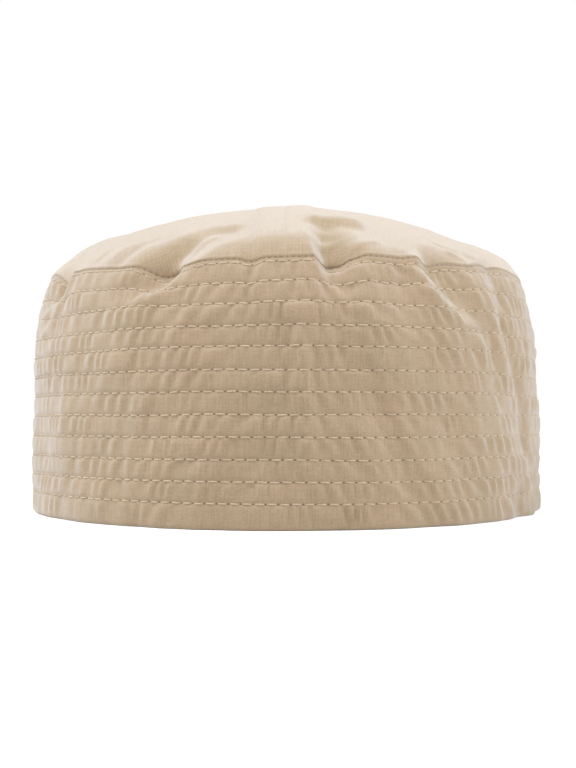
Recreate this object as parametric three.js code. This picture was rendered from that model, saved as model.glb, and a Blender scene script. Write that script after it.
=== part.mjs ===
// A soft cotton kufi: a tall side band stitched in level rows, closed by a slack domed crown.
// The crown is two half-ovals sewn together along a seam that runs from front to back.
// Millimetres and degrees, +Z up, the brim resting on Z = 0 and the origin at the middle of the brim.
// Azimuth 0 is the middle of the front, on -Y, and azimuth 90 is the wearer's left, on +X.

import * as THREE from "three";

// Driving dimensions. The brim's oval is 587 mm round, a 58 to 59 cm head.
const HALF_WIDTH = 92.5;
const HALF_DEPTH = 94.5;
const BAND_HEIGHT = 79.1;
const CROWN_RISE = 27.1;
const BAND_WALL = 2;
const CROWN_WALL = 1.3;
const SEAM_GAP = 0.3;

// The band tapers a little all the way up, and its shoulder turns in above SHOULDER_START.
const TAPER = 0.021;
const SHOULDER_START = 50;
const SHOULDER_TURN = 0.055;
const SHOULDER_POWER = 2.3;
const SHOULDER_TILT = 25;

// The crown's height follows (1 - r * r) to this power, r being the share of the way out to the seam.
const CROWN_FULLNESS = 0.69;

// The cloth faces SHOULDER_TILT degrees up at the seam and turns to straight up by this power.
const CROWN_TILT_POWER = 1.8;

// Rows of stitches press level grooves into the band. The last one lies just under the crown's seam.
const ROW_COUNT = 11;
const FIRST_ROW = 7.5;
const ROW_PITCH = 6.4;
const ROW_DEPTH = 0.45;
const EDGE_ROW = 77.1;
const EDGE_ROUND = 0.4;
const EDGE_ROUND_HEIGHT = 0.9;

// The crown's seam allowances lie pressed open under its middle seam and lift the cloth.
const ALLOWANCE_WIDTH = 6.5;
const ALLOWANCE_LIFT = 0.7;
const ALLOWANCE_EASE = 5;

// Folds, each a furrow across the crown's seam. One row each, front ones first.
// at: azimuth at the seam. left, right: reach to each side in degrees.
// depth: how far in it goes at the seam, below zero for a raised fold beside a furrow.
// drop: how far it pulls the seam down, below zero where it lifts it.
// down, downAt: reach below the seam and the azimuth of that end.
// up, upAt: reach in the crown as a share of the way to the top, and the azimuth of that end.
const FOLDS = [
  { at: -25.5, left: 8, right: 11, depth: 2.8, drop: 2.5, down: 14, downAt: -38, up: 0.5, upAt: -3 },
  { at: -20, left: 4, right: 5, depth: -0.7, drop: 0, down: 20, downAt: -34, up: 0.45, upAt: 2 },
  { at: -24, left: 6, right: 7, depth: 0.9, drop: 0, down: 100, downAt: -34, up: 0.1, upAt: -24 },
  { at: -7, left: 3, right: 3, depth: 0.5, drop: 0.8, down: 8, downAt: -7, up: 0.12, upAt: -7 },
  { at: 7.6, left: 2.4, right: 4.5, depth: 1.5, drop: 0.7, down: 17, downAt: 12, up: 0.44, upAt: 8 },
  { at: 11.6, left: 5, right: 5, depth: 1.3, drop: 0.8, down: 17, downAt: 13, up: 0.44, upAt: 10 },
  { at: 9, left: 5, right: 6, depth: 0.8, drop: 0, down: 100, downAt: 6, up: 0.1, upAt: 9 },
  { at: 27, left: 4, right: 3, depth: -0.7, drop: -0.6, down: 34, downAt: 47, up: 0.12, upAt: 26 },
  { at: 31.5, left: 7, right: 9, depth: 1.6, drop: 0.2, down: 36, downAt: 54, up: 0.24, upAt: 30 },
  { at: 34, left: 6, right: 9, depth: 0, drop: -1.7, down: 36, downAt: 34, up: 0.4, upAt: 34 },
  { at: 46, left: 12, right: 16, depth: 0, drop: -1.4, down: 70, downAt: 46, up: 0.4, upAt: 46 },
  { at: 50, left: 7, right: 10, depth: 2, drop: 0, down: 100, downAt: 73, up: 0.4, upAt: 64 },
  { at: 53, left: 5, right: 9, depth: 0, drop: -1, down: 36, downAt: 53, up: 0.4, upAt: 53 },
  { at: 62, left: 26, right: 30, depth: -0.6, drop: -1.8, down: 70, downAt: 62, up: 0.4, upAt: 62 },
  { at: -47, left: 5, right: 14, depth: 0, drop: -0.7, down: 70, downAt: -47, up: 0.4, upAt: -47 },
  { at: -55.5, left: 9, right: 3, depth: 2.2, drop: 3.4, down: 30, downAt: -95, up: 0.34, upAt: -56 },
  { at: -60, left: 30, right: 26, depth: -0.4, drop: -1.4, down: 70, downAt: -60, up: 0.4, upAt: -60 },
  { at: 84, left: 8, right: 6, depth: 1.6, drop: 1.4, down: 26, downAt: 90, up: 0.4, upAt: 78 },
  { at: 117, left: 7, right: 10, depth: 2.2, drop: 2, down: 38, downAt: 108, up: 0.42, upAt: 124 },
  { at: 151, left: 10, right: 6, depth: 1.8, drop: 1.6, down: 24, downAt: 146, up: 0.36, upAt: 157 },
  { at: -96, left: 7, right: 9, depth: 1.9, drop: 1.6, down: 34, downAt: -104, up: 0.4, upAt: -90 },
  { at: -132, left: 9, right: 7, depth: 2.3, drop: 2.1, down: 28, downAt: -128, up: 0.44, upAt: -140 },
  { at: -166, left: 6, right: 8, depth: 1.5, drop: 1.2, down: 22, downAt: -170, up: 0.34, upAt: -160 },
];
const FOLD_PATH_POWER = 1.5;
const DROP_BELOW = 17;
const DROP_ABOVE = 0.3;

// Slow waves round the cloth: how far they swing at the seam and how many there are round the cap.
const WAVES = [
  { swing: 0.5, count: 5, start: 40 },
  { swing: 0.35, count: 9, start: 100 },
];

// Columns round half the cap, close together at the front where the sharper folds are,
// rings up the crown, and the heights of the band's lining side.
const FRONT_COLUMNS = 32;
const FRONT_SPAN = 80;
const BACK_COLUMNS = 18;
const CROWN_RINGS = 11;
const LINING_HEIGHTS = [74, 63, 48, 24, EDGE_ROUND_HEIGHT];

const radians = THREE.MathUtils.degToRad;
const smooth = (x) => THREE.MathUtils.smoothstep(x, 0, 1);

// Degrees from azimuth b to azimuth a, the short way round.
function turn(a, b) {
  return THREE.MathUtils.euclideanModulo(a - b + 180, 360) - 180;
}

// 1 on a fold's line, easing to 0 at its reach on either side.
function acrossFold(fold, azimuth, line) {
  const off = turn(azimuth, line);
  return smooth(1 - Math.abs(off) / (off < 0 ? fold.left : fold.right));
}

// How deep the folds push the cloth in. below is mm under the seam, above a share of the way to the top.
function foldDepth(azimuth, below, above) {
  return FOLDS.reduce((sum, fold) => {
    const along = above > 0 ? above / fold.up : below / fold.down;
    const end = above > 0 ? fold.upAt : fold.downAt;
    const line = fold.at + turn(end, fold.at) * along ** FOLD_PATH_POWER;
    return sum + fold.depth * smooth(1 - along) * acrossFold(fold, azimuth, line);
  }, 0);
}

function seamDrop(azimuth, below, above) {
  const near = above > 0 ? smooth(1 - above / DROP_ABOVE) : smooth(1 - below / DROP_BELOW);
  return near * FOLDS.reduce((sum, fold) => sum + fold.drop * acrossFold(fold, azimuth, fold.at), 0);
}

function wave(azimuth) {
  return WAVES.reduce((sum, w) => sum + w.swing * Math.sin(w.count * radians(azimuth + w.start)), 0);
}

// A point that lies inset under the outer face: reach is the share of the brim's oval,
// tilt the way the face looks, in degrees above level.
function place(azimuth, reach, height, tilt, inset) {
  const angle = radians(azimuth);
  const inward = inset * Math.cos(radians(tilt));
  return new THREE.Vector3(
    Math.sin(angle) * (HALF_WIDTH * reach - inward),
    -Math.cos(angle) * (HALF_DEPTH * reach - inward),
    height - inset * Math.sin(radians(tilt)),
  );
}

function bandReach(height) {
  const shoulder = Math.max(0, (height - SHOULDER_START) / (BAND_HEIGHT - SHOULDER_START));
  return 1 - (TAPER * height) / BAND_HEIGHT - SHOULDER_TURN * shoulder ** SHOULDER_POWER;
}

function bandPoint(azimuth, height, inset) {
  const below = BAND_HEIGHT - height;
  const share = height / BAND_HEIGHT;
  const tilt = SHOULDER_TILT * smooth((height - SHOULDER_START) / (BAND_HEIGHT - SHOULDER_START));
  const sunk = inset + share * wave(azimuth) + foldDepth(azimuth, below, 0);
  const lowered = height - seamDrop(azimuth, below, 0);
  return place(azimuth, bandReach(height), lowered, tilt, sunk);
}

// The lift of the seam allowances under the crown's middle seam.
function allowance(x) {
  return ALLOWANCE_LIFT * smooth((ALLOWANCE_WIDTH + ALLOWANCE_EASE - Math.abs(x)) / ALLOWANCE_EASE);
}

// above is the share of the way from the seam to the top of the crown.
function crownPoint(azimuth, above, inset) {
  const sweep = (above * Math.PI) / 2;
  const reach = bandReach(BAND_HEIGHT) * Math.cos(sweep);
  const rise = CROWN_RISE * Math.sin(sweep) ** (2 * CROWN_FULLNESS);
  const tilt = 90 - (90 - SHOULDER_TILT) * (1 - above) ** CROWN_TILT_POWER;
  const across = HALF_WIDTH * reach * Math.sin(radians(azimuth));
  const lift = smooth(above / DROP_ABOVE) * allowance(across);
  const sunk = inset + (1 - above) * wave(azimuth) + foldDepth(azimuth, 0, above) - lift;
  const height = BAND_HEIGHT + SEAM_GAP + rise - seamDrop(azimuth, 0, above);
  return place(azimuth, reach, height, tilt, sunk);
}

// Azimuths from the front to the back of one half, 0 to 180.
function halfAzimuths() {
  const columns = [];
  for (let i = 0; i <= FRONT_COLUMNS; i++) columns.push((FRONT_SPAN * i) / FRONT_COLUMNS);
  for (let i = 1; i <= BACK_COLUMNS; i++)
    columns.push(FRONT_SPAN + ((180 - FRONT_SPAN) * i) / BACK_COLUMNS);
  return columns;
}

function geometryOf(points, triangles) {
  const geometry = new THREE.BufferGeometry().setFromPoints(points);
  geometry.setIndex(triangles);
  geometry.computeVertexNormals();
  return geometry;
}

// The two triangles of the four-sided face a, b, c, d.
function quad(a, b, c, d) {
  return [a, b, c, a, c, d];
}

// Heights up the outer face: the rounded brim, then a crest and a groove for each row of stitches.
function outerStations() {
  const stations = [
    { height: 0, inset: EDGE_ROUND },
    { height: EDGE_ROUND_HEIGHT, inset: 0 },
    { height: FIRST_ROW - ROW_PITCH / 2, inset: 0 },
  ];
  for (let row = 0; row < ROW_COUNT; row++) {
    const height = FIRST_ROW + row * ROW_PITCH;
    stations.push({ height, inset: ROW_DEPTH });
    if (row < ROW_COUNT - 1) stations.push({ height: height + ROW_PITCH / 2, inset: 0 });
  }
  const lastRow = FIRST_ROW + (ROW_COUNT - 1) * ROW_PITCH;
  stations.push({ height: (lastRow + EDGE_ROW) / 2, inset: 0 });
  stations.push({ height: EDGE_ROW, inset: ROW_DEPTH });
  stations.push({ height: BAND_HEIGHT, inset: EDGE_ROUND });
  return stations;
}

// One closed loop of wall: each column is a section up the outer face and down the lining.
function bandGeometry() {
  const stations = [
    ...outerStations(),
    { height: BAND_HEIGHT, inset: BAND_WALL },
    ...LINING_HEIGHTS.map((height) => ({ height, inset: BAND_WALL })),
    { height: 0, inset: BAND_WALL - EDGE_ROUND },
  ];
  const half = halfAzimuths();
  const azimuths = [...half, ...half.slice(1, -1).reverse().map((azimuth) => -azimuth)];
  const points = azimuths.flatMap((azimuth) =>
    stations.map(({ height, inset }) => bandPoint(azimuth, height, inset)),
  );
  const at = (column, station) =>
    (column % azimuths.length) * stations.length + (station % stations.length);
  const triangles = [];
  for (let column = 0; column < azimuths.length; column++)
    for (let station = 0; station < stations.length; station++) {
      const next = column + 1;
      const up = station + 1;
      triangles.push(...quad(at(column, station), at(next, station), at(next, up), at(column, up)));
    }
  return geometryOf(points, triangles);
}

// Half of the crown, on the side of +X where side is 1 and of -X where it is -1. Each column runs up
// from the seam to the top, and the cloth's edges close the wall at the seam and along the middle.
function crownHalfGeometry(side) {
  const azimuths = halfAzimuths();
  const points = [];
  for (const inset of [0, CROWN_WALL]) {
    for (const azimuth of azimuths)
      for (let ring = 0; ring < CROWN_RINGS; ring++)
        points.push(crownPoint(side * azimuth, ring / CROWN_RINGS, inset));
    points.push(crownPoint(0, 1, inset));
  }
  for (const point of points) point.x += (side * SEAM_GAP) / 2;

  const top = azimuths.length * CROWN_RINGS;
  const outer = (column, ring) => (ring === CROWN_RINGS ? top : column * CROWN_RINGS + ring);
  const inner = (column, ring) => top + 1 + outer(column, ring);
  const last = azimuths.length - 1;
  const triangles = [];
  for (let column = 0; column < last; column++) {
    const next = column + 1;
    triangles.push(...quad(inner(column, 0), inner(next, 0), outer(next, 0), outer(column, 0)));
    for (let ring = 0; ring < CROWN_RINGS - 1; ring++) {
      const up = ring + 1;
      triangles.push(...quad(outer(column, ring), outer(next, ring), outer(next, up), outer(column, up)));
      triangles.push(...quad(inner(column, up), inner(next, up), inner(next, ring), inner(column, ring)));
    }
    const ring = CROWN_RINGS - 1;
    triangles.push(outer(column, ring), outer(next, ring), outer(column, CROWN_RINGS));
    triangles.push(inner(column, CROWN_RINGS), inner(next, ring), inner(column, ring));
  }
  for (let ring = 0; ring < CROWN_RINGS; ring++) {
    const up = ring + 1;
    triangles.push(...quad(outer(0, ring), outer(0, up), inner(0, up), inner(0, ring)));
    triangles.push(...quad(inner(last, ring), inner(last, up), outer(last, up), outer(last, ring)));
  }
  // Azimuths run the other way round on the -X side, which turns every face inside out.
  if (side < 0) triangles.reverse();
  return geometryOf(points, triangles);
}

const cloth = (color) => new THREE.MeshStandardMaterial({ color, roughness: 0.92, metalness: 0 });

function piece(name, geometry, material) {
  const mesh = new THREE.Mesh(geometry, material);
  mesh.name = name;
  return mesh;
}

const kufi = new THREE.Group();
kufi.name = "kufi";
kufi.add(piece("side_band", bandGeometry(), cloth(0xc4aa88)));
kufi.add(piece("crown_left", crownHalfGeometry(1), cloth(0xdac8ae)));
kufi.add(piece("crown_right", crownHalfGeometry(-1), cloth(0xdac8ae)));

export default kufi;
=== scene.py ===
import math
import bpy
import numpy as np
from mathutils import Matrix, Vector


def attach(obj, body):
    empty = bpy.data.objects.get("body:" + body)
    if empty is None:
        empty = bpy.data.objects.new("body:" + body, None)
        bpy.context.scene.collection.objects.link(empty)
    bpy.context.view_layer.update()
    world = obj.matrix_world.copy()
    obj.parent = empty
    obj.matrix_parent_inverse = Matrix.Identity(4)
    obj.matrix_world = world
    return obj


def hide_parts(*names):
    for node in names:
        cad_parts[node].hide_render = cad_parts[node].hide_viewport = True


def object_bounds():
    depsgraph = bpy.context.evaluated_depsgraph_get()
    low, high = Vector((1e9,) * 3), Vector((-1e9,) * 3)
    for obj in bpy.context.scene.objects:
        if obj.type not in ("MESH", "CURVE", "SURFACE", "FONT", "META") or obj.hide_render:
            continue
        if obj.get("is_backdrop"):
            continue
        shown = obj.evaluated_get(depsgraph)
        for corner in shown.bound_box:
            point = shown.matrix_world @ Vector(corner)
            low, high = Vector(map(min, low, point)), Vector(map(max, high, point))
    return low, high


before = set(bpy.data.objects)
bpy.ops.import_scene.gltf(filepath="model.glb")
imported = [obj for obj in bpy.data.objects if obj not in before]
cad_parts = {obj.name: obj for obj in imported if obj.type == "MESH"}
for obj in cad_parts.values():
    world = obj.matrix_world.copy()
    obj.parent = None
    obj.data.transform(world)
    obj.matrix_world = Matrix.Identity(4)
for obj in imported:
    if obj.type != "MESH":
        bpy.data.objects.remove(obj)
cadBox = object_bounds()
scene = bpy.context.scene
print("kufi: frame loaded")


# Shape shared by all the cloth: lengths in mm and angles in degrees.
# Azimuth 0 is the middle of the front, 90 the wearer's left.
form = {
    "halfWidth": 92.5,
    "halfDepth": 94.5,
    "middleRadius": 93.5,
    "bandHeight": 79.1,
    "crownRise": 27.1,
    "seamGap": 0.4,
    "taper": 0.021,  # the band draws in this share by its top
    "shoulderStart": 50,
    "shoulderTurn": 0.055,
    "shoulderPower": 2.3,
    "shoulderTilt": 25,
    "crownFullness": 0.69,
    "crownTiltPower": 1.8,
    "foldPathPower": 1.5,
    "dropBelow": 17,  # mm under the seam that its drop reaches
    "dropAbove": 0.3,  # share of the way to the top that it reaches
    "around": 587,  # length of the brim
    "lastRow": 77.4,
    "rowToSeam": 1.25,
    "rowFade": 9,
    "seamFade": 8,
}

# Folds across the crown's seam: at, left, right, depth, drop, down, downAt, up, upAt.
# left and right are degrees to each side, down mm under the seam, up a share of the way to the top.
folds = [
    (-25.5, 8, 11, 2.8, 2.5, 14, -38, 0.5, -3),
    (-20, 4, 5, -0.7, 0, 20, -34, 0.45, 2),
    (-24, 6, 7, 0.9, 0, 100, -34, 0.1, -24),
    (-7, 3, 3, 0.5, 0.8, 8, -7, 0.12, -7),
    (7.6, 2.4, 4.5, 1.5, 0.7, 17, 12, 0.44, 8),
    (11.6, 5, 5, 1.3, 0.8, 17, 13, 0.44, 10),
    (9, 5, 6, 0.8, 0, 100, 6, 0.1, 9),
    (27, 4, 3, -0.7, -0.6, 34, 47, 0.12, 26),
    (31.5, 7, 9, 1.6, 0.2, 36, 54, 0.24, 30),
    (34, 6, 9, 0, -1.7, 36, 34, 0.4, 34),
    (46, 12, 16, 0, -1.4, 70, 46, 0.4, 46),
    (50, 7, 10, 2, 0, 100, 73, 0.4, 64),
    (53, 5, 9, 0, -1, 36, 53, 0.4, 53),
    (62, 26, 30, -0.6, -1.8, 70, 62, 0.4, 62),
    (-47, 5, 14, 0, -0.7, 70, -47, 0.4, -47),
    (-55.5, 9, 3, 2.2, 3.4, 30, -95, 0.34, -56),
    (-60, 30, 26, -0.4, -1.4, 70, -60, 0.4, -60),
    (84, 8, 6, 1.6, 1.4, 26, 90, 0.4, 78),
    (117, 7, 10, 2.2, 2, 38, 108, 0.42, 124),
    (151, 10, 6, 1.8, 1.6, 24, 146, 0.36, 157),
    (-96, 7, 9, 1.9, 1.6, 34, -104, 0.4, -90),
    (-132, 9, 7, 2.3, 2.1, 28, -128, 0.44, -140),
    (-166, 6, 8, 1.5, 1.2, 22, -170, 0.34, -160),
]

# Slow waves round the cloth: swing, count, start.
waves = [(0.5, 5, 40), (0.35, 9, 100)]

# Creases on one sheet that runs on from the band into the crown: depth (below 0 for a raised fold),
# reach to the left and right of its line in mm, then its line as pairs of azimuth and mm up the cloth.
creases = [
    # the long fold left of the middle, with its raised edge
    (0.85, 6, 2.6, [(-37, 64), (-34.8, 65.6), (-29.6, 70), (-25.4, 74), (-23.4, 78.7), (-22.2, 82),
                    (-20.8, 87), (-19, 92), (-16.4, 94.4), (-11, 95), (-4, 92.5)]),
    (-0.42, 3, 5, [(-33, 64.5), (-31, 66.2), (-27.1, 69), (-23.1, 73.1), (-21.2, 78.7), (-20.2, 82)]),
    (0.35, 4, 6, [(-20.8, 79), (-19.4, 83), (-17.2, 88), (-14.6, 92), (-10, 94.4)]),
    (0.45, 5, 2.6, [(-22.4, 81), (-21, 86), (-19.4, 91), (-17.2, 94.6), (-13, 96), (-7, 95.6)]),
    (0.45, 5, 2.2, [(-28.6, 63), (-29.4, 55), (-29.4, 46), (-30.8, 36), (-31, 26), (-32, 12), (-33, 0)]),
    (-0.35, 2.5, 5, [(-25.2, 64), (-25.9, 55.8), (-26.3, 49.5), (-26.9, 41.5), (-28.4, 33), (-29, 22)]),
    (0.3, 1.5, 1.5, [(-32.1, 26), (-31.9, 18.8), (-31.5, 14.6), (-32, 12), (-30, 9), (-29.6, 5)]),
    # the pocket right of the middle
    (1.1, 5.5, 11, [(9.8, 75), (9.4, 78), (8.8, 81), (8, 84), (7.6, 87)]),
    (1.2, 5.5, 11, [(9.8, 75), (9.4, 78), (8.8, 81), (8, 84), (7.6, 88), (7.8, 92.5)]),
    (1.3, 6, 12, [(9.8, 75), (9.4, 78), (8.8, 82), (7.8, 87), (7.8, 92), (8.6, 97.5)]),
    (0.4, 1.6, 2, [(9.2, 76), (6.6, 69.6), (7.8, 67.2), (9.2, 64.4), (10.5, 61.4), (12.5, 58.5)]),
    (-0.45, 2, 3, [(3.6, 70), (5.5, 64.5), (7.4, 60.6), (10, 59.4)]),
    (-0.35, 2, 2.4, [(12, 77), (11.4, 70), (11.2, 64.6), (13, 60)]),
    (-0.12, 3, 2.4, [(4.3, 78.7), (4.8, 82), (5, 88), (5.6, 95), (7, 99)]),
    (-1.6, 5.5, 8.5, [(3, 98.6), (6.5, 99.6), (10, 100), (13.5, 99.6), (17, 97.2), (21, 93.5)]),
    (-0.5, 3.5, 1.8, [(12.4, 81.8), (14.4, 82.8), (16.4, 83.8), (18.6, 84.7), (21, 85.6)]),
    (0.9, 2.2, 2.6, [(33.4, 90), (36.4, 87.6), (39.4, 85), (42, 82.6), (44.4, 80.4)]),
    (-0.5, 2, 2.6, [(36, 84.6), (39, 82.8), (42, 81)]),
    # the two long ridges on the right
    (-0.45, 7, 6, [(25.6, 83), (26.4, 80), (27.5, 77.4), (29.6, 73.6), (31.4, 68.6), (34, 65),
                   (37.1, 62.2), (39.6, 59.6), (42, 54), (44.5, 48)]),
    (1.0, 5, 6.5, [(29.4, 82), (29.8, 79), (30.8, 75.6), (33.2, 71), (35.2, 67.6), (38.6, 64.6),
                   (41, 61.4), (43, 57), (45.6, 50), (49, 43)]),
    (-0.2, 2, 2.4, [(32.6, 76), (34, 72.6), (35.6, 69), (38, 66)]),
    (-0.2, 1.8, 2.2, [(36, 76.5), (37, 72.6), (38.6, 69.5)]),
    (-0.75, 6.5, 5.5, [(49.6, 83), (49, 78.3), (49.6, 76), (48.2, 69.6), (46.8, 64.6), (47.8, 59.9),
                       (48.1, 55.7), (49.5, 51), (51.6, 45), (53.6, 36), (55.6, 28), (57.3, 20),
                       (58.6, 11), (61, 1)]),
    (1.1, 5, 6, [(52.4, 84), (51.6, 78.6), (51.2, 73), (50.2, 67), (50, 62), (51.3, 54.7), (53.7, 49.7),
                  (56.6, 40.5), (58.8, 33), (60.6, 24.5), (62.2, 14), (64, 2)]),
    (-0.4, 2, 2.4, [(55.6, 78), (55, 69), (55.6, 61), (58, 52)]),
    (-0.35, 2, 3, [(60, 74), (60.6, 62), (62.5, 48), (64, 34)]),
    # the left shoulder
    (-0.5, 3, 3.5, [(-51, 82), (-53.2, 77.6), (-55.2, 73.6), (-56.8, 69.5), (-57.4, 65), (-61, 61),
                    (-66, 57)]),
    (0.6, 4.5, 2.4, [(-54, 84), (-56, 77), (-58.2, 73.6), (-60.2, 69), (-60.6, 65), (-64.4, 61),
                     (-69, 58)]),
    # the crown's full shoulders, and the band's two sides, one drawn in and the other fuller
    (-1.0, 13, 13, [(-118, 92), (-96, 96), (-78, 97), (-58, 96), (-40, 94)]),
    (-1.4, 12, 13, [(44, 88), (58, 92), (76, 93), (96, 92), (118, 90)]),
    (1.1, 26, 26, [(-90, 20), (-90, 40), (-90, 60), (-90, 84)]),
    (-1.1, 26, 26, [(90, 20), (90, 40), (90, 60), (90, 84)]),
    # short creases in the crown just above its seam
    (0.4, 2, 2, [(-52.1, 80), (-57, 87.1), (-58.4, 93)]),
    (0.45, 2.4, 3.4, [(-38.6, 78), (-37, 81), (-34.6, 84), (-32, 88), (-27, 92)]),
    (-0.3, 2.4, 2.4, [(-41.5, 79.5), (-40, 83), (-37.6, 86), (-34, 89.5)]),
    (0.35, 2, 3, [(-45.5, 79.5), (-44.5, 83), (-42, 87), (-38, 91)]),
    (0.35, 1.6, 2.2, [(44.6, 79.6), (43.8, 82.5), (41.8, 85.5), (41.4, 90)]),
    # one fold on each side of the hidden back
    (0.7, 3, 3, [(112, 50), (115, 64), (117, 78.7), (120, 92)]),
    (-0.5, 2.5, 2.5, [(107.5, 52), (110.6, 64), (112.4, 78.7), (114, 88)]),
    (0.7, 3, 3, [(-129, 54), (-131, 66), (-132, 78.7), (-136, 92)]),
    (-0.5, 2.5, 2.5, [(-124.6, 56), (-126.4, 66), (-127.4, 78.7), (-130, 88)]),
]

# How a crease wanders from its line, in degrees and over mm, and how its depth varies.
creaseForm = {
    "wander": 0.55,
    "wanderLength": 4.3,
    "vary": 0.35,
    "varyLength": 5.1,
    "fadeShare": 0.25,
    "degree": 1.5,  # mm, for the length of a line
    "margin": 10,  # degrees beyond a line where it is still looked for
}


# 0 below 0 and 1 above 1, with level ends: three x squared less two x cubed.
def smooth(x):
    x = np.clip(x, 0, 1)
    return x * x * (3 - 2 * x)


# Degrees from b to a, the short way round.
def turn(a, b):
    return (a - b + 180) % 360 - 180


# Random heights on the whole numbers of x and y, eased between them, from -1 to 1.
# wrap is the number of cells after which x begins again.
def noise(x, y, seed, wrap=64):
    table = np.random.default_rng(seed).uniform(-1, 1, (64, wrap))
    left = np.floor(x).astype(int)
    low = np.floor(y).astype(int)
    right = smooth(x - left)
    high = smooth(y - low)
    corner = lambda i, j: table[(low + j) % 64, (left + i) % wrap]
    lower = corner(0, 0) * (1 - right) + corner(1, 0) * right
    upper = corner(0, 1) * (1 - right) + corner(1, 1) * right
    return lower * (1 - high) + upper * high


# 1 on a fold's line, easing to 0 at its reach on either side.
def acrossFold(left, right, azimuth, line):
    off = turn(azimuth, line)
    return smooth(1 - np.abs(off) / np.where(off < 0, left, right))


# Sum of the folds: each is its depth, faded along its length, times its section across its line.
def foldDepth(azimuth, below, above):
    total = 0
    for at, left, right, depth, drop, down, downAt, up, upAt in folds:
        along = np.where(above > 0, above / up, np.maximum(below, 0) / down)
        end = np.where(above > 0, upAt, downAt)
        line = at + turn(end, at) * np.clip(along, 0, 4) ** form["foldPathPower"]
        total = total + depth * smooth(1 - along) * acrossFold(left, right, azimuth, line)
    return total


# How far the folds pull the seam down, fading away from it.
def seamDrop(azimuth, below, above):
    fadeAbove = smooth(1 - above / form["dropAbove"])
    fadeBelow = smooth(1 - below / form["dropBelow"])
    drops = sum(drop * acrossFold(left, right, azimuth, at) for at, left, right, _, drop, *_ in folds)
    return np.where(above > 0, fadeAbove, fadeBelow) * drops


# How much lower the seam and the row under it lie than the folds alone put them: azimuth, mm, mm.
seamLine = np.array([
    (-75, 0, 0), (-62, 0.6, 0.2), (-55, 1.4, 0.4), (-45, 1.6, 0.4), (-33, 1.4, 0.4), (-30.5, 1, 0.6),
    (-28, 1, 0.8), (-26, 0.7, 0.4), (-24, 0.1, 0), (-22, -0.9, -0.7), (-20.4, 0, -0.2), (-18.4, 0.4, -0.2),
    (-15, 0.6, -0.2), (4, 0.65, -0.2), (6, 0.5, -0.2), (8, -0.1, -0.1), (9.5, -0.2, 0), (11.5, 0.2, 0.1),
    (12.6, -0.5, -0.3), (14, -0.1, 0), (26, 0, 0), (28, -0.2, 0), (30, 0.9, 0.8), (34, 1.1, 0.9),
    (42, 1.1, 0.9), (46, 0.5, 0.6), (48, 0.3, 0.3), (50, 1.1, 0.8), (55, 1, 0.8), (62, 0.9, 0.6),
    (80, 0, 0),
])


# The table's share at a height: none well under the last row, the row's on it, the seam's just above.
def seamLower(azimuth, height):
    azimuth = turn(azimuth, 0)
    onSeam = np.interp(azimuth, seamLine[:, 0], seamLine[:, 1])
    onRow = np.interp(azimuth, seamLine[:, 0], seamLine[:, 2])
    between = np.clip((height - form["lastRow"]) / form["rowToSeam"], 0, 1)
    fade = smooth(1 - (form["lastRow"] - height) / form["rowFade"])
    return (onRow * (1 - between) + onSeam * between) * fade


# Sum of swing times the sine of count times the azimuth.
def wave(azimuth):
    return sum(swing * np.sin(np.radians(count * (azimuth + start))) for swing, count, start in waves)


# A line with its corners cut twice, so that it bends smoothly.
def softLine(line):
    points = np.array(line, float)
    for _ in range(2):
        first = points[:-1] * 0.75 + points[1:] * 0.25
        second = points[:-1] * 0.25 + points[1:] * 0.75
        inside = np.stack([first, second], 1).reshape(-1, 2)
        points = np.concatenate([points[:1], inside, points[-1:]])
    return points


# Sum of the creases: depth times a section that eases to 0 at the reach to each side of the nearest
# stretch of the line, faded over the first and last quarter of the crease's length.
def creaseDepth(azimuth, upward, scale):
    azimuth, upward, scale = np.broadcast_arrays(azimuth, upward, scale)
    total = np.zeros(azimuth.shape)
    for number, (depth, left, right, line) in enumerate(creases):
        points = softLine(line)
        middle = points[:, 0].mean()
        margin = (points[:, 0].max() - points[:, 0].min()) / 2 + creaseForm["margin"]
        near = np.abs(turn(azimuth, middle)) < margin
        a, u, s = azimuth[near], upward[near], scale[near]
        a = a + creaseForm["wander"] * noise(u / creaseForm["wanderLength"], number + 0 * u, 31)
        best = np.full(a.shape, np.inf)
        side = np.zeros(a.shape)
        along = np.zeros(a.shape)
        steps = np.hypot(np.diff(points[:, 0]) * creaseForm["degree"], np.diff(points[:, 1]))
        passed = np.concatenate([[0], np.cumsum(steps)]) / steps.sum()
        upwards = 1 if points[-1, 1] > points[0, 1] else -1
        for k in range(len(points) - 1):
            dx = (points[k + 1, 0] - points[k, 0]) * s
            dy = points[k + 1, 1] - points[k, 1]
            x = turn(a, points[k, 0]) * s
            y = u - points[k, 1]
            t = np.clip((x * dx + y * dy) / (dx * dx + dy * dy), 0, 1)
            away = np.hypot(x - t * dx, y - t * dy)
            closer = away < best
            best = np.where(closer, away, best)
            side = np.where(closer, np.sign(x * dy - y * dx) * upwards, side)
            along = np.where(closer, passed[k] + t * (passed[k + 1] - passed[k]), along)
        ends = smooth(along / creaseForm["fadeShare"]) * smooth((1 - along) / creaseForm["fadeShare"])
        vary = 1 + creaseForm["vary"] * noise(u / creaseForm["varyLength"], number + 0 * u, 32)
        total[near] += depth * ends * vary * smooth(1 - best / np.where(side < 0, left, right))
    return total


# A point lying inset under the outer face: reach is the share of the brim's oval,
# tilt the way the face looks, above level.
def place(azimuth, reach, height, tilt, inset):
    angle, lean = np.radians(azimuth), np.radians(tilt)
    inward = inset * np.cos(lean)
    x = np.sin(angle) * (form["halfWidth"] * reach - inward)
    y = -np.cos(angle) * (form["halfDepth"] * reach - inward)
    return np.stack(np.broadcast_arrays(x, y, height - inset * np.sin(lean)), -1)


# How far up the shoulder a height is: 0 where it starts and 1 at the seam, below 0 under it.
def shoulderShare(height):
    return (height - form["shoulderStart"]) / (form["bandHeight"] - form["shoulderStart"])


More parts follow.
